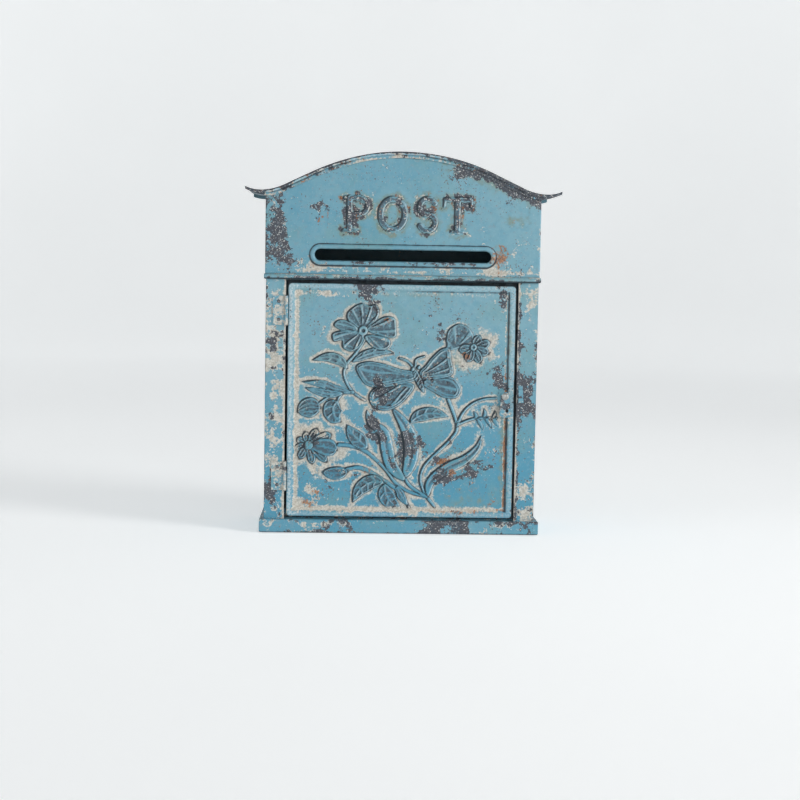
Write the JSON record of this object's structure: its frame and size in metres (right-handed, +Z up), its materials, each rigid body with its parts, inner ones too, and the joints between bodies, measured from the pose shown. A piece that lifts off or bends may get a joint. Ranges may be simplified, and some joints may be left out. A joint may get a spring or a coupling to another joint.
{
  "type": "mailbox",
  "caption": "Wall or table letter box in embossed sheet metal: arched roof with upturned tips, front letter slot, side-hinged door with a turn latch.",
  "frame": {"origin": "middle of the base, on the surface that the plinth stands on", "axes": "+Z up, the front with slot and door faces -Y, the wall side faces +Y, +X is to the right seen from the front"},
  "size_m": [0.315, 0.108, 0.382],
  "materials": {
    "case_paint": "satin teal blue paint, chipped to cream primer and dark grey steel, with rust spots",
    "door_paint": "satin teal blue paint, rubbed dark in the relief, cream halos, rust spots",
    "roof_paint": "satin teal blue paint worn to dark grey along the edges",
    "plinth_paint": "satin teal blue paint with dark worn patches",
    "inner_paint": "thin dull overspray on dark grey steel",
    "hinge_leaf_paint": "painted over, worn to cream and rust",
    "fastener_steel": "dull aged steel with traces of paint",
    "latch_paint": "worn blue grey paint on steel"
  },
  "bodies": {
    "case": {"back_panel": "case_paint", "left_side_panel": "case_paint", "right_side_panel": "case_paint", "floor_panel": "inner_paint", "base_plinth": "plinth_paint", "roof_panel": "roof_paint", "header_panel": "case_paint", "drip_ledge": "case_paint", "left_stile": "case_paint", "right_stile": "case_paint", "sill_rail": "inner_paint", "upper_hinge_frame_leaf": "hinge_leaf_paint", "lower_hinge_frame_leaf": "hinge_leaf_paint", "upper_hinge_pin": "fastener_steel", "lower_hinge_pin": "fastener_steel", "upper_frame_rivets": "fastener_steel", "lower_frame_rivets": "fastener_steel", "latch_keeper": "latch_paint"},
    "door": {"door_panel": "door_paint", "upper_hinge_door_leaf": "hinge_leaf_paint", "lower_hinge_door_leaf": "hinge_leaf_paint", "upper_door_rivets": "fastener_steel", "lower_door_rivets": "fastener_steel", "latch_rivet": "fastener_steel", "latch_spacer": "fastener_steel", "latch_washer": "fastener_steel"},
    "latch": {"latch_tab": "latch_paint"}
  },
  "joints": [
    {"name": "door_hinge", "type": "hinge", "parent": "case", "child": "door", "pos_m": [-0.1155, -0.05165, 0.14], "axis": [0, 0, -1], "range_deg": [0, 170]},
    {"name": "latch_turn", "type": "hinge", "parent": "door", "child": "latch", "pos_m": [0.105, -0.0515, 0.14], "axis": [0, -1, 0], "range_deg": [-90, 90]}
  ]
}
